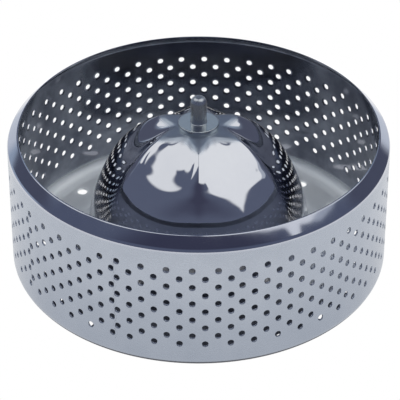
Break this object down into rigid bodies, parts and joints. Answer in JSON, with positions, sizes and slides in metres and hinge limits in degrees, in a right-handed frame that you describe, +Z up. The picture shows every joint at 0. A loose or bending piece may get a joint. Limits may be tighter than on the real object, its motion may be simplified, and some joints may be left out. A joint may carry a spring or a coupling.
{
  "type": "basket strainer",
  "caption": "Round perforated steel basket strainer with a turned-in rim, a fluted dome in the middle and a round-nosed stud on top.",
  "frame": {"origin": "on the axis of the basket, in the plane that it stands on", "axes": "+Z up along the axis and the stud, -Y towards the front"},
  "size_m": [0.19, 0.19, 0.0939],
  "materials": {
    "shell_steel": "satin outside, polished shoulder and inside",
    "dome_steel": "mirror polished",
    "stud_steel": "turned and polished",
    "washer_steel": "polished",
    "fixing_steel": "plain"
  },
  "bodies": {
    "root": {"basket_shell": "shell_steel", "core_dome": "dome_steel", "lift_stud": "stud_steel", "seat_washer": "washer_steel", "backing_washer": "fixing_steel", "lock_washer": "fixing_steel", "stud_nut": "fixing_steel"}
  },
  "joints": []
}
